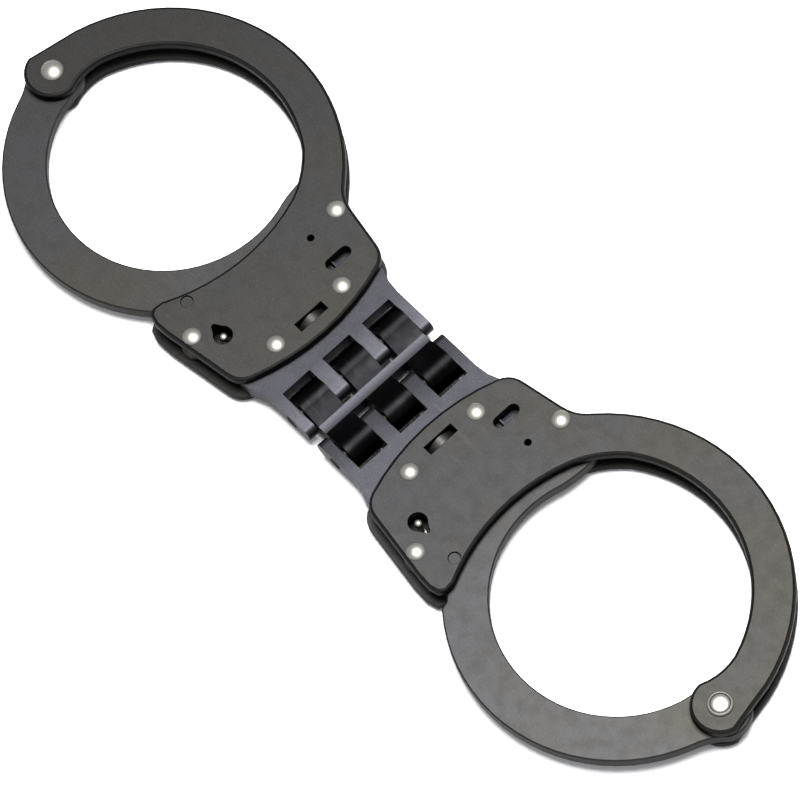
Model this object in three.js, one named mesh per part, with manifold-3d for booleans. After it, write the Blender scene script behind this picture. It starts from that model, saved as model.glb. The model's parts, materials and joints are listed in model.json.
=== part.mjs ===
// Hinged handcuffs: two cuffs joined by a centre link on two hinge pins.
//
// Millimetres, +Z up.  X runs from cuff to cuff and Y along the hinge pins.  The pair lies
// flat on the heads of its rear rivets, at Z = 0, with the origin under the middle of its box.
//
// Each cuff is drawn once, in its own flat coordinates: u is the distance out from the
// middle of the hinge along X, v runs along Y.  Cuff B lies on +X, and cuff A is its mirror
// image on -X.  Flat pieces are outlines in u, v that are carried up along Z.

import * as THREE from 'three';
import { mergeVertices } from 'three/addons/utils/BufferGeometryUtils.js';
import Module from 'manifold-3d';

const wasm = await Module();
wasm.setup();

// ---------------------------------------------------------------- driving dimensions

const CHEEK_THICKNESS = 2.2;
const CHEEK_GAP = 4.2;            // room between the two cheeks of a cuff
const HEAD_HEIGHT = 0.85;         // dome of a rivet head
const JAW_THICKNESS = 3.2;
const LEAF_THICKNESS = 4.0;
const PAWL_THICKNESS = 3.4;
const PLAY = 0.08;                // between a shank and its hole
const SEAT = 0.02;                // between a head and its plate

const BOW = { u: 69.1, v: -0.5, outer: 40.8, inner: 31.5 };    // the fixed arms
const PIVOT = { u: 104.62, v: 0.13, boss: 6.4 };
const BODY_BACK = { u: 69.1, v: 0, r: 53.6 };                  // edge next to the hinge
const BODY_FRONT = { u: 86.2, v: 0.3, r: 45 };                 // edge next to the wrist
const LOW_EDGE = [[19.9, -21.45], [48.0, -25.6]];              // edge where the jaw enters
const TOP_EDGE = [[19.8, 20.9], [36.0, 23.8]];
const REAR_MARGIN = { low: 1.3, back: 0.8 };                   // the rear cheek reaches further

const RIVETS = {
  arm_rivet: { u: 35.1, v: 20.85, shoulder: true },
  upper_leaf_rivet: { u: 21.0, v: 9.57 },
  lower_leaf_rivet: { u: 21.0, v: -9.57 },
  pawl_rivet: { u: 35.2, v: -20.95 },
};
const RIVET = { shank: 1.6, shoulder: 2.3, head: 2.1 };
const PIVOT_SHANK = 2.4;
const PIVOT_HEADS = { a: { r: 2.55, height: 1.1 }, b: { r: 2.85, height: 0.6 } };

const KEYHOLE = { u: 30.62, v: -16.1, r: 2.1, tip: 3.4, slot: 1.3 };
const POST = { r: 0.9, foot: 1.2, below: 0.3 };
const LOCK_SLOT = { u: 26.29, v: 13.41, length: 6.6, width: 2.5 };
const WINDOW = { u: 20.28, v: 0.08, length: 7.6, width: 2.2 };
const PEEP_HOLE = { u: 33.98, v: 12.42, r: 0.75 };

const JAW = { centre: 33.47, outer: 37.2, inner: 27.3, boss: 6.5, step: 1.1, tipIn: 3.4 };
const JAW_STEP_AT = 55.5;         // degrees about the jaw's own centre, from its far point
const JAW_TAPER_AT = 36;
const JAW_TIP_AT = -28.5;
const TOOTH = { r: 67.2, depth: 1.0, count: 18, pitch: 30 / 18, steep: 0.12, last: 17 };
const PAWL_CLEARANCE = 0.14;      // out from the teeth of the jaw
const PAWL_TEETH_FROM = 4;        // the first gap between teeth that the pawl fills
const PAWL_TEETH = 3;
const JAW_CLOSED = { a: 5.3 + 2 * TOOTH.pitch, b: 5.3 };       // turn of each jaw at rest

const HINGE_V = -0.53;            // middle of the hinge along its pins
const PIN = { u: 6.8, r: 1.5, half: 17.9 };
const KNUCKLE = { r: 4.1, width: 7.25 };
const COMB = { pitch: 11.5, window: 7.85, depth: 12.3, fingerEnd: 2.9, earEnd: 1.15, ear: 2.55 };
const LEAF_END = 24.3;
const LINK_BAR = { half: 1.15, height: 4.0, length: 30.3 };

// ---------------------------------------------------------------- heights

const Z_REAR = HEAD_HEIGHT;
const Z_GAP = Z_REAR + CHEEK_THICKNESS;
const Z_FRONT = Z_GAP + CHEEK_GAP;
const Z_TOP = Z_FRONT + CHEEK_THICKNESS;
const Z_MID = Z_GAP + CHEEK_GAP / 2;

// ---------------------------------------------------------------- finishes

const finish = (color, roughness) =>
  new THREE.MeshStandardMaterial({ color, roughness, metalness: 1 });
const BLUED_PLATE = finish(0x4a4947, 0.5);
const BLUED_JAW = finish(0x5b5a57, 0.45);
const BLUED_LEAF = finish(0x6a6a70, 0.45);
const BLACK_LINK = finish(0x1d1e20, 0.3);
const NICKEL = finish(0xd9d7cf, 0.25);
const PLAIN_STEEL = finish(0x8c8c8a, 0.4);

// ---------------------------------------------------------------- plane geometry

const vec = (x, y) => new THREE.Vector2(x, y);
const radians = THREE.MathUtils.degToRad;
const polar = (centre, r, angle) =>
  vec(centre.x + r * Math.cos(angle), centre.y + r * Math.sin(angle));
const line = (from, to) => new THREE.LineCurve(from, to);

// An arc of a circle between two points of it.
function arc(centre, r, from, to, clockwise = false) {
  const [a0, a1] = [from, to].map((p) => Math.atan2(p.y - centre.y, p.x - centre.x));
  return new THREE.ArcCurve(centre.x, centre.y, r, a0, a1, clockwise);
}

// Where two circles cross, on the left of the way from the first centre to the second.
function circlesCross(c0, r0, c1, r1) {
  const way = c1.clone().sub(c0);
  const d = way.length();
  const along = (d * d + r0 * r0 - r1 * r1) / (2 * d);
  const across = Math.sqrt(r0 * r0 - along * along);
  way.divideScalar(d);
  return vec(c0.x + way.x * along - way.y * across, c0.y + way.y * along + way.x * across);
}

// Where the line from p to q crosses a circle, at the crossing nearer to q.
function lineCrossesCircle(p, q, centre, r) {
  const way = q.clone().sub(p).normalize();
  const foot = p.clone().add(way.clone().multiplyScalar(centre.clone().sub(p).dot(way)));
  const half = Math.sqrt(r * r - foot.distanceToSquared(centre));
  const ends = [-half, half].map((s) => foot.clone().add(way.clone().multiplyScalar(s)));
  return ends[0].distanceTo(q) < ends[1].distanceTo(q) ? ends[0] : ends[1];
}

// The points along a side between two distances from its ends: only the ends of a line,
// and every few degrees of an arc.
function sidePoints(curve, trimStart, trimEnd, stepDegrees) {
  const length = curve.getLength();
  const from = trimStart / length;
  const to = 1 - trimEnd / length;
  const turn = curve.isLineCurve ? 0 : ((length * (to - from)) / curve.xRadius) * (180 / Math.PI);
  const count = Math.max(1, Math.round(turn / stepDegrees));
  return Array.from({ length: count + 1 }, (_, k) =>
    curve.getPointAt(from + ((to - from) * k) / count));
}

// A closed outline from sides that follow each other.  A side is a curve, or a list of
// points.  The trim of a curve is what the corner at its start takes off both its sides:
// there the outline follows a parabola that touches them both.
function outline(sides, stepDegrees = 5) {
  const points = [];
  sides.forEach(({ curve, trim = 0, list }, i) => {
    if (list) return points.push(...list);
    if (trim > 0) {
      const before = sides.at(i - 1).curve;
      const from = before.getPointAt(1 - trim / before.getLength());
      const to = curve.getPointAt(trim / curve.getLength());
      const bend = new THREE.QuadraticBezierCurve(from, curve.getPoint(0), to);
      points.push(...bend.getPoints(5).slice(1, -1));
    }
    const next = sides[(i + 1) % sides.length];
    return points.push(...sidePoints(curve, trim, next.trim ?? 0, stepDegrees));
  });
  return points.filter((p, i) => p.distanceTo(points.at(i - 1)) > 0.01);
}

const circle = (u, v, r, sides = 20) =>
  Array.from({ length: sides }, (_, k) => polar(vec(u, v), r, (2 * Math.PI * k) / sides));

const box = (u0, v0, u1, v1) => [vec(u0, v0), vec(u1, v0), vec(u1, v1), vec(u0, v1)];

// A slot with round ends, its length along v.
function slot({ u, v, length, width }) {
  const half = (length - width) / 2;
  const end = (middle, start) => Array.from({ length: 7 }, (_, k) =>
    polar(vec(u, middle), width / 2, start + (Math.PI * k) / 6));
  return [...end(v + half, 0), ...end(v - half, Math.PI)];
}

// A round hole with a narrow slot towards the wrist, for the bit of the key.
function keyhole() {
  const { u, v, r, tip } = KEYHOLE;
  const half = KEYHOLE.slot / 2;
  const flare = 2.2 * Math.asin(half / r);
  const round = Array.from({ length: 15 }, (_, k) =>
    polar(vec(u, v), r, flare + ((2 * Math.PI - 2 * flare) * k) / 14));
  const nose = Array.from({ length: 5 }, (_, k) =>
    polar(vec(u + tip - half, v), half, -Math.PI / 2 + (Math.PI * k) / 4));
  return [...round, ...nose];
}

// A strip of even thickness along a smooth path.
function strip(path, thickness) {
  const curve = new THREE.SplineCurve(path.map(([x, y]) => vec(x, y)));
  const steps = 3 * (path.length - 1);
  const edge = (side) => Array.from({ length: steps + 1 }, (_, k) => {
    const t = curve.getTangentAt(k / steps);
    const across = vec(-t.y, t.x).multiplyScalar((side * thickness) / 2);
    return curve.getPointAt(k / steps).add(across);
  });
  return [...edge(1), ...edge(-1).reverse()];
}

// ---------------------------------------------------------------- outlines of the pieces

// A cheek: the body, the arm over the wrist and the boss of the pivot.
function cheekOutline({ low, back: behind }) {
  const bow = vec(BOW.u, BOW.v);
  const pivot = vec(PIVOT.u, PIVOT.v);
  const back = vec(BODY_BACK.u, BODY_BACK.v);
  const front = vec(BODY_FRONT.u, BODY_FRONT.v);
  const [lowIn, lowOut] = LOW_EDGE.map(([u, v]) => vec(u, v - low));
  const [topIn, topOut] = TOP_EDGE.map(([u, v]) => vec(u, v));
  const backR = BODY_BACK.r + behind;
  const lowLeft = lineCrossesCircle(lowOut, lowIn, back, backR);
  const lowRight = lineCrossesCircle(lowIn, lowOut, front, BODY_FRONT.r);
  const topLeft = lineCrossesCircle(topOut, topIn, back, backR);
  const neck = lineCrossesCircle(topIn, topOut, bow, BOW.outer);
  const wrist = circlesCross(bow, BOW.inner, front, BODY_FRONT.r);
  const bossInner = circlesCross(bow, BOW.inner, pivot, PIVOT.boss);
  const bossOuter = circlesCross(bow, BOW.outer, pivot, PIVOT.boss);
  return outline([
    { curve: line(lowLeft, lowRight), trim: 3.2 },
    { curve: arc(front, BODY_FRONT.r, lowRight, wrist, true), trim: 10 + 2 * low },
    { curve: arc(bow, BOW.inner, wrist, bossInner, true), trim: 6 },
    { curve: arc(pivot, PIVOT.boss, bossInner, bossOuter), trim: 5 },
    { curve: arc(bow, BOW.outer, bossOuter, neck), trim: 6 },
    { curve: line(neck, topLeft), trim: 3.5 },
    { curve: arc(back, backR, topLeft, lowLeft), trim: 3.2 },
  ]);
}

// A point of a jaw about its pivot.  Its angle is in degrees from -u, towards -v.
const aboutPivot = (r, degrees) => polar(vec(0, 0), r, Math.PI + radians(degrees));
const toothAngle = (k) => TOOTH.last - k * TOOTH.pitch;

// Saw teeth along an arc about the pivot: each rises steeply and falls away towards the tip
// of the jaw, so that the jaw runs one way past the pawl.
function teeth(first, count, clearance = 0) {
  const root = TOOTH.r - TOOTH.depth + clearance;
  const points = [];
  for (let k = first; k < first + count; k++) {
    points.push(aboutPivot(root, toothAngle(k)));
    points.push(aboutPivot(TOOTH.r + clearance, toothAngle(k) - TOOTH.steep * TOOTH.pitch));
  }
  return [...points, aboutPivot(root, toothAngle(first + count))];
}

// The jaw with its pivot at 0, 0: a ring that runs from the boss, round under the wrist, to
// the tip.  Its toothed stretch keeps one distance from the pivot, so that each tooth
// passes the pawl at the same place.
function jawOutline() {
  const centre = vec(-JAW.centre, 0);
  const pivot = vec(0, 0);
  const onRing = (r, degrees) => polar(centre, r, Math.PI + radians(degrees));
  const inBoss = (r) => circlesCross(pivot, JAW.boss, centre, r);
  const stepOuter = onRing(JAW.outer, JAW_STEP_AT);
  const stepInner = onRing(JAW.outer - JAW.step, JAW_STEP_AT - 2.5);
  const taper = onRing(JAW.outer - JAW.step, JAW_TAPER_AT);
  const saw = teeth(0, TOOTH.count);
  const tip = [onRing(JAW.inner + 5.2, JAW_TIP_AT + 1), onRing(JAW.inner + 4, JAW_TIP_AT - 1)];
  const taperInner = new THREE.QuadraticBezierCurve(onRing(JAW.inner + JAW.tipIn, JAW_TIP_AT),
    onRing(JAW.inner, JAW_TIP_AT * 0.62), onRing(JAW.inner, JAW_TIP_AT * 0.25));
  return outline([
    { curve: arc(pivot, JAW.boss, inBoss(JAW.inner), inBoss(JAW.outer), true), trim: 3.5 },
    { curve: arc(centre, JAW.outer, inBoss(JAW.outer), stepOuter, true), trim: 4 },
    { curve: line(stepOuter, stepInner), trim: 0.4 },
    { curve: arc(centre, JAW.outer - JAW.step, stepInner, taper, true), trim: 0.4 },
    { list: [...saw, ...tip, ...taperInner.getPoints(6)] },
    { curve: arc(centre, JAW.inner, onRing(JAW.inner, JAW_TIP_AT * 0.25), inBoss(JAW.inner)) },
  ]);
}

// From the pivot of a jaw at rest to the flat coordinates of its cuff.
const ontoPivot = (p, degrees = 0) =>
  p.clone().rotateAround(vec(0, 0), -radians(degrees)).add(vec(PIVOT.u, PIVOT.v));

// The pawl: an eye on its rivet, a bar beside the jaw with teeth that fill the gaps of the
// jaw's, and a lug that the bit of a key pushes.
function pawlOutline() {
  const { u, v } = RIVETS.pawl_rivet;
  const atJaw = (r, degrees) => ontoPivot(aboutPivot(r, degrees), JAW_CLOSED.b);
  const saw = teeth(PAWL_TEETH_FROM, PAWL_TEETH, PAWL_CLEARANCE)
    .map((p) => ontoPivot(p, JAW_CLOSED.b));
  const valley = toothAngle(PAWL_TEETH_FROM - 1) - TOOTH.steep * TOOTH.pitch;
  const end = toothAngle(PAWL_TEETH_FROM + PAWL_TEETH);
  const eye = Array.from({ length: 9 }, (_, k) =>
    polar(vec(u, v), 2.9, radians(-200 + (k * 220) / 8)));
  return [
    ...eye,
    atJaw(68.4, 17), atJaw(68.3, valley + 2),
    atJaw(TOOTH.r + PAWL_CLEARANCE, valley), ...saw,
    atJaw(TOOTH.r + 0.9, end - 0.2), atJaw(68.6, 2.5), atJaw(69.6, 1.6), atJaw(71.4, 1.8),
    vec(32.3, -2), vec(32.2, -9.4), vec(31.3, -10.6), vec(31.3, -12.1), vec(32.4, -12.5),
    vec(34.5, -13.6), vec(34.4, -17.4),
  ];
}

// The slide of the double lock: a block under its slot with an arm towards the pawl.  Its
// rib shows in the slot, where the key pushes it.
const slideOutline = () => [
  vec(24.7, 9.2), vec(33.2, 9.2), vec(33.2, 11.2), vec(28.3, 11.2), vec(28.3, 17.6), vec(24.7, 17.6),
];

// The part of a hinge leaf between the cheeks, without its ears and fingers.
function leafOutline() {
  const low = HINGE_V - PIN.half - 0.07;
  const high = HINGE_V + PIN.half + 0.07;
  return [
    vec(COMB.depth, low), vec(15, low - 0.3), vec(18.3, low - 1.6), vec(21, low - 1.9),
    vec(LEAF_END, low - 0.9), vec(LEAF_END, high + 0.9), vec(21, high + 1.6),
    vec(18.3, high + 1.4), vec(15.6, high + 0.4), vec(COMB.depth, high),
  ];
}

// Across the hinge, a finger or an ear: a bar with rounded corners at its end.
function tongueOutline(end) {
  const h = LEAF_THICKNESS / 2;
  const r = 1.8;
  const corner = (z, from) => Array.from({ length: 5 }, (_, k) =>
    polar(vec(end + r, Z_MID + z), r, from + (Math.PI * k) / 8));
  const root = COMB.depth + 1;
  return [vec(root, Z_MID - h), vec(root, Z_MID + h),
    ...corner(h - r, Math.PI / 2), ...corner(r - h, Math.PI)];
}

// Across the hinge, the link: a flat bar between two round knuckles that its flanks touch.
function knucklePairOutline() {
  const half = LINK_BAR.height / 2;
  const d = vec(PIN.u - LINK_BAR.half, -half);
  const touch = Math.atan2(d.y, d.x) + Math.PI - Math.acos(KNUCKLE.r / d.length());
  const side = Array.from({ length: 17 }, (_, k) =>
    polar(vec(PIN.u, Z_MID), KNUCKLE.r, -touch + (2 * touch * k) / 16));
  const right = [vec(LINK_BAR.half, Z_MID - half), ...side, vec(LINK_BAR.half, Z_MID + half)];
  return [...right, ...right.map((p) => vec(-p.x, 2 * Z_MID - p.y))];
}

// ---------------------------------------------------------------- solids

// An outline on one side of the hinge, run anticlockwise as an extrusion wants it.
function placed(points, side) {
  const here = points.map((p) => vec(side * p.x, p.y));
  return THREE.ShapeUtils.isClockWise(here) ? here.reverse() : here;
}

// An outline with holes, carried up from one height to another.
function plate(side, points, z0, z1, holes = []) {
  const shape = new THREE.Shape(placed(points, side));
  shape.holes = holes.map((hole) => new THREE.Path(placed(hole, side)));
  const geometry = new THREE.ExtrudeGeometry(shape, { depth: z1 - z0, bevelEnabled: false });
  return geometry.translate(0, 0, z0);
}

// An outline in X and Z with holes, carried along Y from one place to another.
function prism(side, points, y0, y1, holes = []) {
  return plate(side, points, -y1, -y0, holes).rotateX(Math.PI / 2);
}

// A profile of [radius, height] pairs, from the axis back to the axis, turned about an
// upright axis.
function turned(profile, side, { u, v }, sides = 18) {
  const points = profile.map(([r, z]) => vec(r, z));
  return new THREE.LatheGeometry(points, sides).rotateX(Math.PI / 2).translate(side * u, v, 0);
}

// A spherical cap of a rivet head, from its rim to the axis.
function dome(r, height, base, up = 1) {
  const ball = (r * r + height * height) / (2 * height);
  const sweep = Math.asin(r / ball);
  return Array.from({ length: 4 }, (_, k) => {
    const angle = sweep * (1 - k / 3);
    return [ball * Math.sin(angle), base + up * (ball * Math.cos(angle) - ball + height)];
  });
}

function solid(geometry) {
  const bare = geometry.clone().deleteAttribute('normal').deleteAttribute('uv');
  const merged = mergeVertices(bare, 1e-4);
  const vertProperties = merged.attributes.position.array;
  const triVerts = new Uint32Array(merged.index.array);
  return new wasm.Manifold(new wasm.Mesh({ numProp: 3, vertProperties, triVerts }));
}

function geometryOf(manifold) {
  const { vertProperties, triVerts } = manifold.getMesh();
  const geometry = new THREE.BufferGeometry();
  geometry.setAttribute('position', new THREE.BufferAttribute(vertProperties, 3));
  return geometry.setIndex(new THREE.BufferAttribute(triVerts, 1));
}

// ---------------------------------------------------------------- the pieces of one cuff

const rivetHoles = (names) => names.map((name) =>
  circle(RIVETS[name].u, RIVETS[name].v, RIVET.shank + PLAY));

function cheek(side, front) {
  const holes = [...rivetHoles(Object.keys(RIVETS)), circle(PIVOT.u, PIVOT.v, PIVOT_SHANK + PLAY)];
  if (!front) {
    holes.push(circle(KEYHOLE.u, KEYHOLE.v, POST.foot + PLAY));
    return plate(side, cheekOutline(REAR_MARGIN), Z_REAR, Z_GAP, holes);
  }
  const { u, v, width, length } = WINDOW;
  holes.push(keyhole(), slot(LOCK_SLOT), circle(PEEP_HOLE.u, PEEP_HOLE.v, PEEP_HOLE.r, 12));
  holes.push(box(u - width / 2, v - length / 2, u + width / 2, v + length / 2));
  return plate(side, cheekOutline({ low: 0, back: 0 }), Z_FRONT, Z_TOP, holes);
}

function jaw(side, closed) {
  const points = jawOutline().map((p) => ontoPivot(p, closed));
  const hole = circle(PIVOT.u, PIVOT.v, PIVOT_SHANK + PLAY);
  const half = JAW_THICKNESS / 2;
  return plate(side, points, Z_MID - half, Z_MID + half, [hole]);
}

// A rivet through both cheeks, with an optional shoulder that holds them apart.
function rivet(side, place, shank, frontHead, rearHead, shoulder = 0) {
  const collar = 2 * SEAT;
  const middle = shoulder ? [[shank, Z_GAP + collar], [shoulder, Z_GAP + collar],
    [shoulder, Z_FRONT - collar], [shank, Z_FRONT - collar]] : [];
  const rear = dome(rearHead.r, rearHead.height, Z_REAR - SEAT, -1).reverse();
  const front = dome(frontHead.r, frontHead.height, Z_TOP + SEAT);
  return turned([...rear, [shank, Z_REAR - SEAT], ...middle, [shank, Z_TOP + SEAT], ...front],
    side, place);
}

function keyPost(side) {
  const top = Z_TOP - POST.below;
  return turned([[0, Z_REAR], [POST.foot, Z_REAR], [POST.foot, Z_GAP], [POST.r, Z_GAP],
    ...dome(POST.r, 0.45, top - 0.45)], side, KEYHOLE, 16);
}

// The leaf: the plate between the cheeks, joined to two ears and two fingers, with the
// hole for the hinge pin through them all.
function hingeLeaf(side) {
  const half = LEAF_THICKNESS / 2;
  const pocket = box(WINDOW.u - 1.25, WINDOW.v - 4.1, WINDOW.u + 1.25, WINDOW.v + 4.1);
  const holes = [...rivetHoles(['upper_leaf_rivet', 'lower_leaf_rivet']), pocket];
  let leaf = solid(plate(side, leafOutline(), Z_MID - half, Z_MID + half, holes));
  const pinHole = circle(PIN.u, Z_MID, PIN.r + PLAY, 24);
  const tongue = (end, middle, width) => {
    const [y0, y1] = [HINGE_V + middle - width / 2, HINGE_V + middle + width / 2];
    leaf = leaf.add(solid(prism(side, tongueOutline(end), y0, y1, [pinHole])));
  };
  for (const place of [-1, 1]) {
    tongue(COMB.fingerEnd, (place * COMB.pitch) / 2, COMB.pitch - COMB.window);
    const earMiddle = COMB.pitch + COMB.window / 2 + COMB.ear / 2;
    tongue(COMB.earEnd, place * earMiddle, COMB.ear);
  }
  return geometryOf(leaf);
}

function pawl(side) {
  const half = PAWL_THICKNESS / 2;
  const { u, v } = RIVETS.pawl_rivet;
  const eye = circle(u, v, RIVET.shank + PLAY);
  return plate(side, pawlOutline(), Z_MID - half, Z_MID + half, [eye]);
}

// A bent strip that rides on the pawl.
const PAWL_SPRING_PATH = [[26.0, -8], [26.2, -3], [27.4, 0.2], [29.5, 0.3], [31.85, -2.6]];
const pawlSpring = (side) => plate(side, strip(PAWL_SPRING_PATH, 0.4), Z_MID - 1.5, Z_MID + 1.5);

function lockSlide(side) {
  const block = solid(plate(side, slideOutline(), Z_GAP + 0.3, Z_FRONT - 1.5));
  const rib = solid(plate(side, box(24.9, 12.1, 27.8, 12.6), Z_FRONT - 1.6, Z_FRONT - 0.1));
  return geometryOf(block.add(rib));
}

// A strip arched towards the window, with its two feet on the rear cheek.
function windowSpring(side) {
  const path = [[-3.6, Z_GAP + 0.3], [-3.5, Z_MID + 1.2], [0, Z_TOP - 0.75],
    [3.5, Z_MID + 1.2], [3.6, Z_GAP + 0.3]];
  const points = strip(path, 0.45);
  const standing = plate(1, points, -0.95, 0.95).rotateX(Math.PI / 2).rotateZ(Math.PI / 2);
  return standing.translate(side * WINDOW.u, WINDOW.v, 0);
}

// ---------------------------------------------------------------- the hinge between

function hingeLink() {
  const bar = LINK_BAR;
  const half = bar.height / 2;
  const section = box(-bar.half, Z_MID - half, bar.half, Z_MID + half);
  let link = solid(prism(1, section, HINGE_V - bar.length / 2, HINGE_V + bar.length / 2));
  const holes = [-1, 1].map((side) => circle(side * PIN.u, Z_MID, PIN.r + PLAY, 24));
  for (const place of [-1, 0, 1]) {
    const middle = HINGE_V + place * COMB.pitch;
    const [y0, y1] = [middle - KNUCKLE.width / 2, middle + KNUCKLE.width / 2];
    link = link.add(solid(prism(1, knucklePairOutline(), y0, y1, holes)));
  }
  return geometryOf(link);
}

const hingePin = (side) =>
  prism(side, circle(PIN.u, Z_MID, PIN.r, 24), HINGE_V - PIN.half, HINGE_V + PIN.half);

// ---------------------------------------------------------------- the assembly

const model = new THREE.Group();

function add(name, geometry, material) {
  const mesh = new THREE.Mesh(geometry, material);
  mesh.name = name;
  model.add(mesh);
}

for (const [letter, side] of [['a', -1], ['b', 1]]) {
  const head = { r: RIVET.head, height: HEAD_HEIGHT - SEAT };
  add(`front_cheek_${letter}`, cheek(side, true), BLUED_PLATE);
  add(`rear_cheek_${letter}`, cheek(side, false), BLUED_PLATE);
  add(`jaw_${letter}`, jaw(side, JAW_CLOSED[letter]), BLUED_JAW);
  add(`jaw_pivot_${letter}`,
    rivet(side, PIVOT, PIVOT_SHANK, PIVOT_HEADS[letter], { ...head, r: 2.6 }), NICKEL);
  for (const [name, place] of Object.entries(RIVETS)) {
    const shoulder = place.shoulder ? RIVET.shoulder : 0;
    add(`${name}_${letter}`, rivet(side, place, RIVET.shank, head, head, shoulder), NICKEL);
  }
  add(`key_post_${letter}`, keyPost(side), NICKEL);
  add(`hinge_leaf_${letter}`, hingeLeaf(side), BLUED_LEAF);
  add(`hinge_pin_${letter}`, hingePin(side), PLAIN_STEEL);
  add(`pawl_${letter}`, pawl(side), PLAIN_STEEL);
  add(`pawl_spring_${letter}`, pawlSpring(side), PLAIN_STEEL);
  add(`lock_slide_${letter}`, lockSlide(side), BLUED_LEAF);
  add(`window_spring_${letter}`, windowSpring(side), PLAIN_STEEL);
}
add('hinge_link', hingeLink(), BLACK_LINK);

const bounds = new THREE.Box3().setFromObject(model);
const middle = bounds.getCenter(new THREE.Vector3());
model.children.forEach((mesh) => mesh.position.set(-middle.x, -middle.y, -bounds.min.z));

export default model;
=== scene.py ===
"""Hinged handcuffs: the finish and the fine shapes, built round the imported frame."""

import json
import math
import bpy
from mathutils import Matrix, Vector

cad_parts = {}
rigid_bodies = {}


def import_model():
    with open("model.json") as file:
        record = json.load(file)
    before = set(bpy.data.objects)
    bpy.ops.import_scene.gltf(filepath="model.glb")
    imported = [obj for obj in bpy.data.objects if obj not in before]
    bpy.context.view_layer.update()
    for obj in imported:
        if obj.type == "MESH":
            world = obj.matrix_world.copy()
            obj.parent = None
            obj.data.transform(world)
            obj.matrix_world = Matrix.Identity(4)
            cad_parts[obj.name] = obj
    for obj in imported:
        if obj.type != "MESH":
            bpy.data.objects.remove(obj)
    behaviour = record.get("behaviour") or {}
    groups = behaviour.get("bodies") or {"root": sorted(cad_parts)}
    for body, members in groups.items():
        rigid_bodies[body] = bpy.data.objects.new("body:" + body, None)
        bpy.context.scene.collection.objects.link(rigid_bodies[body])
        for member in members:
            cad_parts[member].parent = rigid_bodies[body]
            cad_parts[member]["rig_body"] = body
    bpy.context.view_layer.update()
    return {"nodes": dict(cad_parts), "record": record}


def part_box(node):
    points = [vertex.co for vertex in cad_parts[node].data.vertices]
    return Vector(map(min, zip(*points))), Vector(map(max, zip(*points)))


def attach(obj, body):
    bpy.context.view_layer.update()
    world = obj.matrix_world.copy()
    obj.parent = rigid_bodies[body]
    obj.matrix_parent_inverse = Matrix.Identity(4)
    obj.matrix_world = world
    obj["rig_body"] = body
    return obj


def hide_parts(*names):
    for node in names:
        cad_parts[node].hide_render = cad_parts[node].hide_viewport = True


bl_info = {
    "name": "Hinged Handcuffs",
    "version": (1, 0, 0),
    "blender": (4, 5, 0),
    "location": "View3D > Sidebar > Handcuffs",
    "description": "Rounds, turns and finishes the pieces of a pair of hinged handcuffs",
    "category": "Object",
}

import bmesh
import bpy
import numpy as np
from bpy.props import FloatProperty, FloatVectorProperty, IntProperty, PointerProperty
from mathutils import Vector
from mathutils.geometry import tessellate_polygon

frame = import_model()
SIDES = {"a": -1.0, "b": 1.0}
RIVETS = ("arm_rivet", "upper_leaf_rivet", "lower_leaf_rivet", "pawl_rivet")
LOCK_PARTS = ("pawl", "pawl_spring", "lock_slide", "window_spring")
SLOTS = {s["node"]: s["material_slot"] for s in frame["record"]["subparts"]}

# In metres, where nothing else is said.
DIMPLE_PLACE = (-0.06257, -0.01637)  # in a cuff's own coordinates
RIVET_SHANK = 0.0016
PIVOT_SHANK = 0.0024
SET_HEADS = ("arm_rivet", "pawl_rivet")  # their heads are not read from their boxes
SET_HEAD = 0.0021
PIVOT_REAR_HEAD = 0.0026
POST_TIP_RADIUS = 0.0009
POST_TIP_HEIGHT = 0.00055
# Painted shade on the walls: the share of the dark edge colour laid on the wall of a cheek,
# then of a jaw.
CHEEK_WALL_PAINTED_SHADE = 0.95  # share of the edge colour on the wall of a plate
JAW_WALL_PAINTED_SHADE = 0.45
STRIP_HALF_WIDTH = 0.00125  # of the flat middle of the link
FLOOR_DROP = 0.00005  # keeps the floor clear of the rivets that lie on it
KEY_PLACE = (0.02, 0.08, 0.95)
KEY_AIM = (0.05, -0.02, 0)
KEY_SIZE = 0.5


# ------------------------------------------------------------------ sizes and colours


def length(name, default, description):
    """A length in metres that a user may change."""
    return FloatProperty(name=name, description=description, default=default,
                         min=0.0, unit="LENGTH", precision=5)


def share(name, default, description):
    """A factor from 0 to 1."""
    return FloatProperty(name=name, description=description, default=default,
                         min=0.0, max=1.0, subtype="FACTOR")


def colour(name, default, description):
    """A linear colour."""
    return FloatVectorProperty(name=name, description=description, default=default,
                               min=0.0, max=1.0, size=3, subtype="COLOR")


class HandcuffShape(bpy.types.PropertyGroup):
    """Fine shapes that the frame leaves plain."""

    cheek_outer_edge: length("Cheek outer edge", 0.0008, "Rounding of a cheek's outer face")
    cheek_inner_edge: length("Cheek inner edge", 0.00015, "Rounding of a cheek's hidden face")
    hole_edge: length("Hole edge", 0.00014, "Rounding round the holes of a cheek")
    jaw_edge: length("Jaw edge", 0.00036, "Rounding of both edges of a jaw")
    leaf_edge: length("Leaf edge", 0.0003, "Rounding of the hinge leaves and the link")
    small_edge: length("Small edge", 0.00008, "Rounding of the small steel parts")
    dimple_radius: length("Dimple radius", 0.00135, "Radius of the pressed dimple of a cheek")
    dimple_depth: length("Dimple depth", 0.0005, "Depth of the pressed dimple of a cheek")
    groove_radius: length("Groove radius", 0.0021, "Radius of the ring on the flat pivot head")
    edge_steps: IntProperty(name="Edge steps", default=6, min=2, max=12,
                            description="Faces across a rounded edge")
    turned_sides: IntProperty(name="Turned sides", default=56, min=16, max=128,
                              description="Faces round a turned part")


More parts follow.
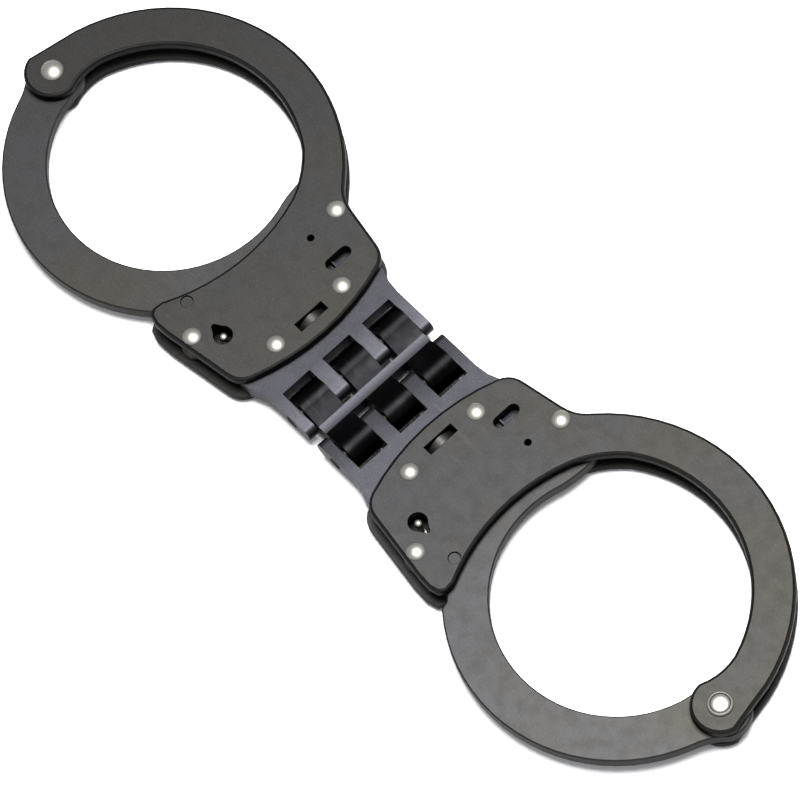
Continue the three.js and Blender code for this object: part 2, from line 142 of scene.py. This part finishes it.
class HandcuffFinish(bpy.types.PropertyGroup):
    """Colours and gloss of the metals."""

    plate_warm: colour("Plate, warm", (0.0255, 0.0244, 0.0216), "Brownish tone of the plates")
    plate_cool: colour("Plate, cool", (0.0250, 0.0250, 0.0264), "Bluish tone of the plates")
    # Painted shade: the dark colour laid along the edges, on the walls and round the holes of
    # the plates and jaws.
    plate_painted_shade: colour("Plate, edge", (0.0012, 0.0012, 0.0013), "Dark line along the edges")
    jaw_warm: colour("Jaw, warm", (0.0310, 0.0298, 0.0266), "Brownish tone of the jaws")
    jaw_cool: colour("Jaw, cool", (0.0320, 0.0320, 0.0346), "Bluish tone of the jaws")
    leaf_tone: colour("Leaf", (0.0290, 0.0290, 0.0335), "Tone of the hinge leaves")
    link_black: colour("Link", (0.0034, 0.0034, 0.0038), "Black of the knuckles")
    nickel: colour("Nickel", (0.36, 0.345, 0.31), "Bright plating of the rivets")
    steel: colour("Steel", (0.060, 0.058, 0.054), "Plain steel of the lock")
    plate_roughness: share("Plate roughness", 0.46, "Mean roughness of the blued steel")
    link_roughness: share("Link roughness", 0.30, "Mean roughness of the black link")
    nickel_roughness: share("Nickel roughness", 0.36, "Mean roughness of the rivets")


class HandcuffStage(bpy.types.PropertyGroup):
    """Camera, light and floor."""

    camera_place: FloatVectorProperty(
        name="Camera", description="Place of the camera", subtype="TRANSLATION",
        default=(0.456806, -0.245219, 1.117948), size=3)
    camera_turn: FloatVectorProperty(
        name="Camera turn", description="Rotation of the camera", subtype="EULER",
        default=tuple(math.radians(a) for a in (23.891166, 6.547510, 47.231909)), size=3)
    lens_mm: FloatProperty(name="Lens", description="Focal length in millimetres",
                           default=260.8667, min=1.0)
    floor_size: length("Floor", 8.0, "Width of the floor")
    world_strength: FloatProperty(name="World", description="Strength of the even light",
                                  default=0.62, min=0.0)
    key_power: FloatProperty(name="Key light", description="Power of the large soft light",
                             default=22.0, min=0.0, unit="POWER")


# ------------------------------------------------------------------ shader maths


class Signal:
    """A socket of a material's nodes.  Arithmetic on it adds Math nodes."""

    def __init__(self, shader, socket):
        self.shader = shader
        self.socket = socket

    def _math(self, operation, *values):
        inputs = dict(enumerate(values))
        return self.shader.node("ShaderNodeMath", {"operation": operation}, inputs)

    def __add__(self, other):
        return self._math("ADD", self, other)

    def __radd__(self, other):
        return self._math("ADD", other, self)

    def __sub__(self, other):
        return self._math("SUBTRACT", self, other)

    def __rsub__(self, other):
        return self._math("SUBTRACT", other, self)

    def __mul__(self, other):
        return self._math("MULTIPLY", self, other)

    def __rmul__(self, other):
        return self._math("MULTIPLY", other, self)

    def band(self, low, high):
        """0 below low, 1 above high, and a smooth rise between."""
        inputs = {"Value": self, "From Min": low, "From Max": high}
        settings = {"interpolation_type": "SMOOTHSTEP", "clamp": True}
        return self.shader.node("ShaderNodeMapRange", settings, inputs)


class Shader:
    """A material in the making."""

    def __init__(self, name):
        self.material = bpy.data.materials.new(name)
        self.material.use_nodes = True
        self.tree = self.material.node_tree
        self.tree.nodes.clear()
        self.place = self.node("ShaderNodeTexCoord", output="Object")

    def node(self, kind, settings=None, inputs=None, output=0):
        """Adds a node: its settings first, then values or links for its sockets."""
        made = self.tree.nodes.new(kind)
        for key, value in (settings or {}).items():
            setattr(made, key, value)
        for key, value in (inputs or {}).items():
            if isinstance(value, Signal):
                self.tree.links.new(value.socket, made.inputs[key])
            else:
                made.inputs[key].default_value = value
        return Signal(self, made.outputs[output])

    def noise(self, size, detail=3.0, roughness=0.5, stretch=(1, 1, 1)):
        """Noise from 0 to 1 whose lumps are about size metres across."""
        scale = [s / size for s in stretch]
        spot = self.node("ShaderNodeMapping", None, {"Vector": self.place, "Scale": scale})
        inputs = {"Vector": spot, "Scale": 1.0, "Detail": detail, "Roughness": roughness}
        return self.node("ShaderNodeTexNoise", None, inputs)

    def mix(self, share_of_b, a, b):
        """Colour a where the share is 0, colour b where it is 1."""
        rgba = [c if isinstance(c, Signal) else (*c, 1.0) for c in (a, b)]
        inputs = {0: share_of_b, 6: rgba[0], 7: rgba[1]}
        return self.node("ShaderNodeMix", {"data_type": "RGBA"}, inputs, output=2)

    def attribute(self, name):
        """A number kept at the points of the mesh."""
        return self.node("ShaderNodeAttribute", {"attribute_name": name}, output="Fac")

    def metal(self, base, roughness, height, bump, glance=1.0):
        """Ends the material: a metal of that colour and roughness.  glance is how much of
        the light it gives back at a low angle, which black oxide soaks up."""
        normal = self.node("ShaderNodeBump", None,
                           {"Strength": bump, "Distance": 0.00005, "Height": height})
        inputs = {"Base Color": base, "Metallic": 1.0, "Roughness": roughness,
                  "Normal": normal, "Specular Tint": (glance, glance, glance, 1.0)}
        surface = self.node("ShaderNodeBsdfPrincipled", None, inputs)
        self.node_output(surface)
        return self.material

    def node_output(self, surface):
        """Links a surface to the material's output."""
        end = self.tree.nodes.new("ShaderNodeOutputMaterial")
        self.tree.links.new(surface.socket, end.inputs["Surface"])


def blued_steel(name, warm, cool, edge, roughness, painted_shade_share=0.96):
    """Tumbled and blued steel: clouds of a warm and a cool tone, fine specks from the
    tumbling, painted shade along the edges and on the walls, and a few rubbed hairlines."""
    s = Shader(name)
    clouds = s.noise(0.020, 2.0, 0.5)
    blotches = s.noise(0.0030, 3.0, 0.55)
    specks = s.noise(0.00045, 2.0, 0.7)
    rubbed = s.noise(0.0011, 2.0, 0.5, stretch=(0.12, 1.0, 1.0))
    tone = s.mix(clouds.band(0.30, 0.70), warm, cool)
    dull = tuple(0.84 * c for c in warm)
    tone = s.mix(blotches.band(0.40, 0.72) * 0.5, tone, dull)
    pale = tuple(min(1.0, 1.8 * c) for c in warm)
    tone = s.mix(specks.band(0.50, 0.78) * 0.6, tone, pale)
    tone = s.mix(rubbed.band(0.64, 0.80) * 0.25, tone, pale)
    # Painted shade: the dark colour laid in by the share kept at the points, a thin line where
    # the flat ends and most of each wall.
    tone = s.mix(s.attribute("edge").band(0.05, 0.85) * painted_shade_share, tone, edge)
    rough = roughness - 0.06 + blotches * 0.08 + specks * 0.08
    height = specks * 0.6 + blotches * 0.4
    return s.metal(tone, rough, height, 0.35, glance=0.65)


def black_gloss(name, black, roughness, strip, half_width):
    """Black oxide, rubbed to a gloss, with faint rings from turning.  Its flat strip, where
    the distance from the middle of the hinge is less than half its width, is worn pale."""
    s = Shader(name)
    clouds = s.noise(0.005, 3.0)
    rings = s.noise(0.0006, 2.0, 0.5, stretch=(0.1, 1.0, 0.1))
    specks = s.noise(0.0004, 2.0, 0.7)
    pale = tuple(3.2 * c for c in black)
    tone = s.mix(clouds.band(0.45, 0.8) * 0.5, black, pale)
    tone = s.mix(rings.band(0.6, 0.8) * 0.3, tone, pale)
    along = s.node("ShaderNodeSeparateXYZ", None, {0: s.place})
    off = s.node("ShaderNodeMath", {"operation": "ABSOLUTE"}, {0: along})
    tone = s.mix(1 - off.band(half_width - 0.00025, half_width), tone, strip)
    rough = roughness - 0.04 + rings * 0.08 + specks * 0.05
    return s.metal(tone, rough, rings * 0.6 + specks * 0.4, 0.25, glance=0.5)


def bright_plating(name, tone, roughness):
    """Nickel plate with a soft grain, a few darker pits, and painted shade at rims and
    grooves.
    """
    s = Shader(name)
    grain = s.noise(0.0005, 3.0, 0.6)
    clouds = s.noise(0.0022, 2.0)
    dull = tuple(0.72 * c for c in tone)
    mixed = s.mix(clouds.band(0.5, 0.8) * 0.4, tone, dull)
    mixed = s.mix(grain.band(0.66, 0.8) * 0.5, mixed, dull)
    # Painted shade: the rims of the heads and the groove of the flat head are darkened by the
    # share kept at the points.
    rim = tuple(0.12 * c for c in tone)
    mixed = s.mix(s.attribute("edge").band(0.7, 1.0) * 0.8, mixed, rim)
    return s.metal(mixed, roughness - 0.04 + grain * 0.1, grain, 0.25)


def plain_steel(name, tone):
    """Bright drawn steel with a grain along the part and a trace of oil stain."""
    s = Shader(name)
    grain = s.noise(0.0004, 2.0, 0.6, stretch=(1.0, 0.15, 1.0))
    stain = s.noise(0.003, 3.0)
    dull = tuple(0.5 * c for c in tone)
    mixed = s.mix(stain.band(0.5, 0.78) * 0.6, tone, dull)
    return s.metal(mixed, 0.4 + grain * 0.15, grain, 0.3, glance=0.25)


def finishes():
    """The materials by slot, made once."""
    look = bpy.context.scene.handcuff_finish
    known = {m.name: m for m in bpy.data.materials}
    if "finish_blued_plate" not in known:
        # edge here is the colour of the painted shade along the edges and on the walls.
        warm, cool, edge = (tuple(c) for c in (look.plate_warm, look.plate_cool,
                                               look.plate_painted_shade))
        blued_steel("finish_blued_plate", warm, cool, edge, look.plate_roughness)
        blued_steel("finish_blued_jaw", tuple(look.jaw_warm), tuple(look.jaw_cool), edge,
                    look.plate_roughness)
        leaf = tuple(look.leaf_tone)
        blued_steel("finish_blued_leaf", leaf, tuple(1.1 * c for c in leaf), edge,
                    look.plate_roughness - 0.04)
        black_gloss("finish_black_link", tuple(look.link_black), look.link_roughness,
                    tuple(0.6 * c for c in leaf), STRIP_HALF_WIDTH)
        bright_plating("finish_nickel", tuple(look.nickel), look.nickel_roughness)
        plain_steel("finish_plain_steel", tuple(look.steel))
    return {slot: bpy.data.materials["finish_" + slot] for slot in set(SLOTS.values())}


# ------------------------------------------------------------------ surfaces


def cad_mesh(node):
    """Points and triangles of a CAD node, with coincident points merged."""
    mesh = frame["nodes"][node].data
    points = np.empty(3 * len(mesh.vertices))
    mesh.vertices.foreach_get("co", points)
    mesh.calc_loop_triangles()
    corners = np.empty(3 * len(mesh.loop_triangles), int)
    mesh.loop_triangles.foreach_get("vertices", corners)
    keys = np.round(points.reshape(-1, 3) * 1e7).astype(np.int64)
    _, first, inverse = np.unique(keys, axis=0, return_index=True, return_inverse=True)
    triangles = inverse.reshape(-1)[corners].reshape(-1, 3)
    return points.reshape(-1, 3)[first], triangles


def flat_loops(node):
    """The closed loops round the upper flat face of a CAD node, as arrays of X and Y with
    the steel on their left.  An edge of one triangle only is part of a loop, and each
    loop is followed from its start until it comes back."""
    points, triangles = cad_mesh(node)
    top = points[:, 2].max()
    level = (points[triangles, 2] > top - 1e-6).all(axis=1)
    flat = triangles[level]
    edges = np.concatenate([flat[:, [0, 1]], flat[:, [1, 2]], flat[:, [2, 0]]])
    code = edges[:, 0] * len(points) + edges[:, 1]
    back = edges[:, 1] * len(points) + edges[:, 0]
    rim = edges[~np.isin(code, back)]
    following = dict(rim.tolist())
    loops = []
    while following:
        start, corner = following.popitem()
        loop = [start]
        while corner != start:
            loop.append(corner)
            corner = following.pop(corner)
        loops.append(points[loop][:, :2])
    return sorted(loops, key=lambda loop: -np.ptp(loop, axis=0).prod())


def outward(loop):
    """At each corner of a loop, the direction out of the steel, lengthened so that the
    sides that meet there move by one unit: the sum of the two side normals over one plus
    their dot product."""
    after = np.roll(loop, -1, axis=0) - loop
    after /= np.linalg.norm(after, axis=1, keepdims=True)
    normal = np.stack([after[:, 1], -after[:, 0]], axis=1)
    before = np.roll(normal, 1, axis=0)
    level = 1 + (normal * before).sum(axis=1, keepdims=True)
    return (normal + before) / np.maximum(level, 0.5)


def edge_profile(low, high, low_round, high_round, steps, wall):
    """A wall with a quarter round at both ends: inset from the wall, height, level part
    and rise of the normal, and share of painted shade.  The painted shade is a thin line
    where the flat ends, and it grows from there with the square of the way to the wall."""
    turn = np.linspace(0, np.pi / 2, steps + 1)
    c, s = np.cos(turn), np.sin(turn)
    way = 1 - turn / (np.pi / 2)
    # painted shade: a thin dark line at the crease, and a share that grows towards the wall
    dark = 0.85 * np.exp(-((way - 0.17) / 0.11) ** 2) + wall * way ** 2
    lower = np.stack([low_round * (1 - c), low + low_round * (1 - s), c, -s,
                      dark], axis=1)[::-1]
    upper = np.stack([high_round * (1 - c), high - high_round * (1 - s), c, s,
                      dark], axis=1)
    return np.concatenate([lower, upper])


def carried(loop, profile):
    """A profile carried round a loop: points, normals and share of painted shade on a grid
    whose rows are the steps of the profile."""
    out = outward(loop)
    unit = out / np.linalg.norm(out, axis=1, keepdims=True)
    inset, height, level, rise, edge = (profile[:, k, None] for k in range(5))
    xy = loop[None] - inset[..., None] * out[None]
    points = np.concatenate([xy, np.broadcast_to(height[..., None], (*xy.shape[:2], 1))], 2)
    side = level[..., None] * unit[None]
    up = np.broadcast_to(rise[..., None], (*side.shape[:2], 1))
    normals = np.concatenate([side, up], 2)
    return points, normals, np.broadcast_to(edge, xy.shape[:2])


def grid_faces(rows, columns, offset):
    """Quads over a grid of points that closes on itself along its columns."""
    r, c = np.meshgrid(np.arange(rows - 1), np.arange(columns), indexing="ij")
    d = (c + 1) % columns
    quads = np.stack([r * columns + c, r * columns + d, (r + 1) * columns + d,
                      (r + 1) * columns + c], axis=-1)
    return quads.reshape(-1, 4) + offset


def cap_faces(points, rings, up):
    """Triangles that fill the flat area between rings of points, facing up or down."""
    found = tessellate_polygon([[Vector(p) for p in points[ring]] for ring in rings])
    order = np.concatenate(rings)[np.array(found)]
    a, b, c = (points[order[:, k], :2] for k in range(3))
    area = (b - a)[:, 0] * (c - a)[:, 1] - (b - a)[:, 1] * (c - a)[:, 0]
    order = order[np.abs(area) > 1e-16]
    flip = (area[np.abs(area) > 1e-16] > 0) != up
    order[flip] = order[flip][:, ::-1]
    return order


def dress(piece, node):
    """Gives a new piece its finish and its body, and lets it stand for a CAD node."""
    piece.data.materials.clear()
    piece.data.materials.append(finishes()[SLOTS[node]])
    bpy.context.scene.collection.objects.link(piece)
    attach(piece, frame["nodes"][node]["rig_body"])
    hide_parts(node)
    return piece


def put_painted_shade(mesh, values):
    """Keeps the share of painted shade at each point, for the finish to read."""
    kept = mesh.attributes.new("edge", "FLOAT", "POINT")
    kept.data.foreach_set("value", np.ascontiguousarray(values, np.float32))


def rounded_plate(node, rounds, hole_round, wall, dimples=()):
    """A flat piece with rounded edges on the outline of a CAD node.  rounds are the lower
    and the upper rounding of its outline, and wall is the share of painted shade on its walls.
    A dimple is a centre, a radius and a depth."""
    steps = bpy.context.scene.handcuff_shape.edge_steps
    low, high = (corner.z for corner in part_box(node))
    points, normals, edges, faces, floors, roofs = [], [], [], [], [], []
    count = 0

    def add(grid, normal, edge):
        nonlocal count
        rows, columns = grid.shape[:2]
        points.append(grid.reshape(-1, 3))
        normals.append(normal.reshape(-1, 3))
        edges.append(edge.reshape(-1))
        faces.append(grid_faces(rows, columns, count))
        first = count + np.arange(columns)
        count += rows * columns
        return first, first + (rows - 1) * columns

    for index, loop in enumerate(flat_loops(node)):
        sizes = rounds if index == 0 else (hole_round, hole_round)
        floor, roof = add(*carried(loop, edge_profile(low, high, *sizes, steps, wall)))
        floors.append(floor)
        roofs.append(roof)
    pits = []
    for (x, y), radius, depth in dimples:
        turn = np.linspace(0, -2 * np.pi, 40, endpoint=False)
        loop = np.stack([x + radius * np.cos(turn), y + radius * np.sin(turn)], axis=1)
        soft = min(0.4 * radius, 0.00012)
        # The last column is painted shade down the wall of the dimple.
        side = np.array([[-soft, high - depth, 0, 1, 0], [0, high - depth, 0.7, 0.7, 0.8],
                         [0, high - soft, 1, 0.2, 1.0], [soft, high, 0, 1, 0.1]])
        pit, roof = add(*carried(loop, side))
        pits.append(pit)
        roofs.append(roof)
    points, normals, edges = (np.concatenate(part) for part in (points, normals, edges))
    flat = [cap_faces(points, floors, False), cap_faces(points, roofs, True)]
    flat += [cap_faces(points, [pit], True) for pit in pits]
    return plate_piece(node, points, normals, edges, np.concatenate(faces), flat)


def plate_piece(node, points, normals, edges, quads, flats):
    """Puts the arrays of a plate into a mesh, with its own normals."""
    mesh = bpy.data.meshes.new(node + "_skin")
    every = quads.tolist() + np.concatenate(flats).tolist()
    mesh.from_pydata(points.tolist(), [], every)
    put_painted_shade(mesh, edges)
    mesh.shade_smooth()
    unit = normals / np.maximum(np.linalg.norm(normals, axis=1, keepdims=True), 1e-12)
    mesh.normals_split_custom_set_from_vertices(unit.tolist())
    return dress(bpy.data.objects.new(node + "_skin", mesh), node)


def turned_piece(node, profile, centre):
    """A surface of revolution about an upright axis: profile holds radius, height and share
    of painted shade from its lowest point on the axis to its highest, turned in even steps."""
    sides = bpy.context.scene.handcuff_shape.turned_sides
    profile = np.asarray(profile, float)
    rings = profile[1:-1]
    turn = np.linspace(0, 2 * np.pi, sides, endpoint=False)
    x = centre[0] + rings[:, 0, None] * np.cos(turn)
    y = centre[1] + rings[:, 0, None] * np.sin(turn)
    z = np.broadcast_to(rings[:, 1, None], x.shape)
    poles = [[*centre, profile[0, 1]], [*centre, profile[-1, 1]]]
    points = np.concatenate([np.stack([x, y, z], axis=-1).reshape(-1, 3), poles])
    faces = grid_faces(len(rings), sides, 0).tolist()
    low, high = len(points) - 2, len(points) - 1
    ring = np.arange(sides)
    ahead = (ring + 1) % sides
    last = (len(rings) - 1) * sides
    faces += np.stack([ahead, ring, np.full(sides, low)], axis=1).tolist()
    faces += np.stack([last + ring, last + ahead, np.full(sides, high)], axis=1).tolist()
    mesh = bpy.data.meshes.new(node + "_skin")
    mesh.from_pydata(points.tolist(), [], faces)
    put_painted_shade(mesh, np.append(np.repeat(rings[:, 2], sides), [0, 0]))
    mesh.shade_smooth()
    mesh.set_sharp_from_angle(angle=math.radians(40))
    return dress(bpy.data.objects.new(node + "_skin", mesh), node)


def softened_piece(node, width, segments=3):
    """A copy of a CAD node, merged and with its flat faces joined, whose sharp edges are
    rounded by a bevel."""
    points, triangles = cad_mesh(node)
    mesh = bpy.data.meshes.new(node + "_skin")
    mesh.from_pydata(points.tolist(), [], triangles.tolist())
    work = bmesh.new()
    work.from_mesh(mesh)
    bmesh.ops.dissolve_limit(work, angle_limit=math.radians(1.0), verts=work.verts,
                             edges=work.edges)
    work.to_mesh(mesh)
    work.free()
    mesh.shade_smooth()
    piece = bpy.data.objects.new(node + "_skin", mesh)
    bevel = piece.modifiers.new("Rounded edges", "BEVEL")
    bevel.width = width
    bevel.segments = segments
    bevel.limit_method = "ANGLE"
    bevel.angle_limit = math.radians(35)
    bevel.harden_normals = True
    return dress(piece, node)


def middle(node):
    """The middle of a CAD node's box."""
    low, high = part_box(node)
    return (low + high) / 2


# ------------------------------------------------------------------ pieces


def in_cuff(letter, u, v):
    """A point of a cuff from its own coordinates: u out from the hinge and v towards the
    fixed arm, measured from the pivot of the jaw, which both cuffs share mirrored."""
    pivot = middle(f"jaw_pivot_{letter}")
    return (pivot.x + SIDES[letter] * u, pivot.y + v)


class HANDCUFFS_OT_cheeks(bpy.types.Operator):
    """Make the cheek plates with rounded edges and their pressed dimples"""

    bl_idname = "handcuffs.cheeks"
    bl_label = "Cheeks"

    def execute(self, context):
        size = context.scene.handcuff_shape
        for letter in SIDES:
            dimple = (in_cuff(letter, *DIMPLE_PLACE), size.dimple_radius,
                      size.dimple_depth)
            rounded_plate(f"front_cheek_{letter}",
                          (size.cheek_inner_edge, size.cheek_outer_edge),
                          size.hole_edge, CHEEK_WALL_PAINTED_SHADE, [dimple])
            rounded_plate(f"rear_cheek_{letter}",
                          (size.cheek_outer_edge, size.cheek_inner_edge),
                          size.hole_edge, CHEEK_WALL_PAINTED_SHADE)
        return {"FINISHED"}


class HANDCUFFS_OT_jaws(bpy.types.Operator):
    """Make the toothed jaws with rounded edges"""

    bl_idname = "handcuffs.jaws"
    bl_label = "Jaws"

    def execute(self, context):
        size = context.scene.handcuff_shape
        for letter in SIDES:
            rounded_plate(f"jaw_{letter}", (size.jaw_edge, size.jaw_edge),
                          size.hole_edge, JAW_WALL_PAINTED_SHADE)
        return {"FINISHED"}


def round_head(radius, base, height, up, share_of_rim=0.12):
    """A domed head from its rim to the axis: a short upright rim, then an arc of a circle
    that ends level on the axis.  Its share of painted shade is full at the rim and fades to
    none on the axis."""
    rim = share_of_rim * height
    rise = height - rim
    ball = (radius ** 2 + rise ** 2) / (2 * rise)
    turn = np.linspace(math.asin(radius / ball), 0, 9)
    z = base + up * (rim + ball * np.cos(turn) - ball + rise)
    head = np.stack([ball * np.sin(turn), z, np.linspace(0.9, 0, 9)], axis=1)
    return np.concatenate([[[radius, base, 1.0]], head])


def ringed_head(radius, base, height, groove):
    """A flat head with a round groove and a small pip in its middle.  Its share of painted
    shade is full on its outer wall and in the groove.
    """
    step = height / 5
    table = [(radius, base, 1.0), (radius, base + 2.4 * step, 1.0),
             (radius - 0.35 * height, base + 3.9 * step, 0.7),
             (groove + 0.42 * height, base + 4.6 * step, 0.1),
             (groove + 0.2 * height, base + 4.2 * step, 1.0),
             (groove - 0.1 * height, base + 2.6 * step, 1.0),
             (groove - 0.4 * height, base + 4.0 * step, 0.6),
             (0.5 * groove, base + 4.5 * step, 0.0),
             (0.32 * groove, base + 4.6 * step, 0.0),
             (0.18 * groove, base + 4.95 * step, 0.0), (0.0, base + 5 * step, 0.0)]
    return np.array(table)


class HANDCUFFS_OT_rivets(bpy.types.Operator):
    """Turn the rivets and the pivots of the jaws"""

    bl_idname = "handcuffs.rivets"
    bl_label = "Rivets"

    def execute(self, context):
        size = context.scene.handcuff_shape
        for letter in SIDES:
            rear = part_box(f"rear_cheek_{letter}")[0].z
            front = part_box(f"front_cheek_{letter}")[1].z
            for name in (*RIVETS, "jaw_pivot"):
                node = f"{name}_{letter}"
                low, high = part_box(node)
                spot = middle(node)
                pivot = name == "jaw_pivot"
                radius = SET_HEAD if name in SET_HEADS else (high.x - low.x) / 2
                shank = PIVOT_SHANK if pivot else RIVET_SHANK
                rear_radius = PIVOT_REAR_HEAD if pivot else radius
                lower = round_head(rear_radius, rear, rear - low.z, -1)[::-1]
                if node == "jaw_pivot_b":
                    upper = ringed_head(radius, front, high.z - front, size.groove_radius)
                else:
                    upper = round_head(radius, front, high.z - front, 1)
                stem = [(shank, rear, 0.0), (shank, front, 0.0)]
                turned_piece(node, np.concatenate([lower, stem, upper]), (spot.x, spot.y))
        return {"FINISHED"}


class HANDCUFFS_OT_hinge(bpy.types.Operator):
    """Make the hinge leaves, the link and the pins"""

    bl_idname = "handcuffs.hinge"
    bl_label = "Hinge"

    def execute(self, context):
        size = context.scene.handcuff_shape
        for letter in SIDES:
            softened_piece(f"hinge_leaf_{letter}", size.leaf_edge)
            softened_piece(f"hinge_pin_{letter}", size.small_edge * 2)
        softened_piece("hinge_link", size.leaf_edge)
        return {"FINISHED"}


class HANDCUFFS_OT_locks(bpy.types.Operator):
    """Make the parts of the locks: pawls, slides, springs and key posts"""

    bl_idname = "handcuffs.locks"
    bl_label = "Locks"

    def execute(self, context):
        size = context.scene.handcuff_shape
        for letter in SIDES:
            for name in LOCK_PARTS:
                softened_piece(f"{name}_{letter}", size.small_edge)
            node = f"key_post_{letter}"
            low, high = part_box(node)
            foot = (high.x - low.x) / 2
            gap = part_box(f"rear_cheek_{letter}")[1].z
            head = round_head(POST_TIP_RADIUS, high.z - POST_TIP_HEIGHT, POST_TIP_HEIGHT, 1)
            profile = np.concatenate([[(0, low.z, 0), (foot, low.z, 0), (foot, gap, 0),
                                       (POST_TIP_RADIUS, gap, 0)], head])
            spot = middle(node)
            turned_piece(node, profile, (spot.x, spot.y))
        return {"FINISHED"}


# ------------------------------------------------------------------ stage


def soft_light(name, place, target, size, power):
    """A square area light that points at a target."""
    light = bpy.data.lights.new(name, "AREA")
    light.size = size
    light.energy = power
    lamp = bpy.data.objects.new(name, light)
    lamp.location = place
    way = Vector(target) - Vector(place)
    lamp.rotation_euler = way.to_track_quat("-Z", "Y").to_euler()
    bpy.context.scene.collection.objects.link(lamp)
    return lamp


class HANDCUFFS_OT_stage(bpy.types.Operator):
    """Make the camera, the soft light and the pale floor"""

    bl_idname = "handcuffs.stage"
    bl_label = "Stage"

    def execute(self, context):
        scene = context.scene
        stage = scene.handcuff_stage
        lens = bpy.data.cameras.new("Camera")
        lens.lens = stage.lens_mm
        lens.sensor_width = 36.0
        lens.clip_start, lens.clip_end = 0.01, 50.0
        camera = bpy.data.objects.new("Camera", lens)
        camera.location = stage.camera_place
        camera.rotation_euler = stage.camera_turn
        scene.collection.objects.link(camera)
        scene.camera = camera

        half = stage.floor_size / 2
        mesh = bpy.data.meshes.new("floor")
        mesh.from_pydata([(-half, -half, 0), (half, -half, 0), (half, half, 0),
                          (-half, half, 0)], [], [(0, 1, 2, 3)])
        floor = bpy.data.objects.new("floor", mesh)
        floor.location.z = -FLOOR_DROP
        paper = Shader("paper")
        white = {"Base Color": (0.93, 0.93, 0.93, 1.0), "Roughness": 0.9}
        paper.node_output(paper.node("ShaderNodeBsdfPrincipled", None, white))
        mesh.materials.append(paper.material)
        scene.collection.objects.link(floor)

        world = bpy.data.worlds.new("World")
        world.use_nodes = True
        even = world.node_tree.nodes["Background"]
        even.inputs["Color"].default_value = (0.96, 0.97, 1.0, 1.0)
        even.inputs["Strength"].default_value = stage.world_strength
        scene.world = world
        soft_light("key", KEY_PLACE, KEY_AIM, KEY_SIZE, stage.key_power)
        scene.view_settings.view_transform = "Standard"
        return {"FINISHED"}


# ------------------------------------------------------------------ add-on


class HANDCUFFS_PT_panel(bpy.types.Panel):
    """Lists the steps that build the handcuffs"""

    bl_idname = "HANDCUFFS_PT_panel"
    bl_label = "Handcuffs"
    bl_space_type = "VIEW_3D"
    bl_region_type = "UI"
    bl_category = "Handcuffs"

    def draw(self, context):
        for step in STEPS:
            self.layout.operator(step.bl_idname)


STEPS = (HANDCUFFS_OT_stage, HANDCUFFS_OT_cheeks, HANDCUFFS_OT_jaws, HANDCUFFS_OT_rivets,
         HANDCUFFS_OT_hinge, HANDCUFFS_OT_locks)
GROUPS = {"handcuff_shape": HandcuffShape, "handcuff_finish": HandcuffFinish,
          "handcuff_stage": HandcuffStage}


def register():
    for known in (*GROUPS.values(), *STEPS, HANDCUFFS_PT_panel):
        bpy.utils.register_class(known)
    for name, group in GROUPS.items():
        setattr(bpy.types.Scene, name, PointerProperty(type=group))


def unregister():
    for name in GROUPS:
        delattr(bpy.types.Scene, name)
    for known in reversed((*GROUPS.values(), *STEPS, HANDCUFFS_PT_panel)):
        bpy.utils.unregister_class(known)


def main():
    """Registers the add-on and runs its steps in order."""
    register()
    for step in STEPS:
        group, name = step.bl_idname.split(".")
        getattr(getattr(bpy.ops, group), name)()


if __name__ == "__main__":
    main()
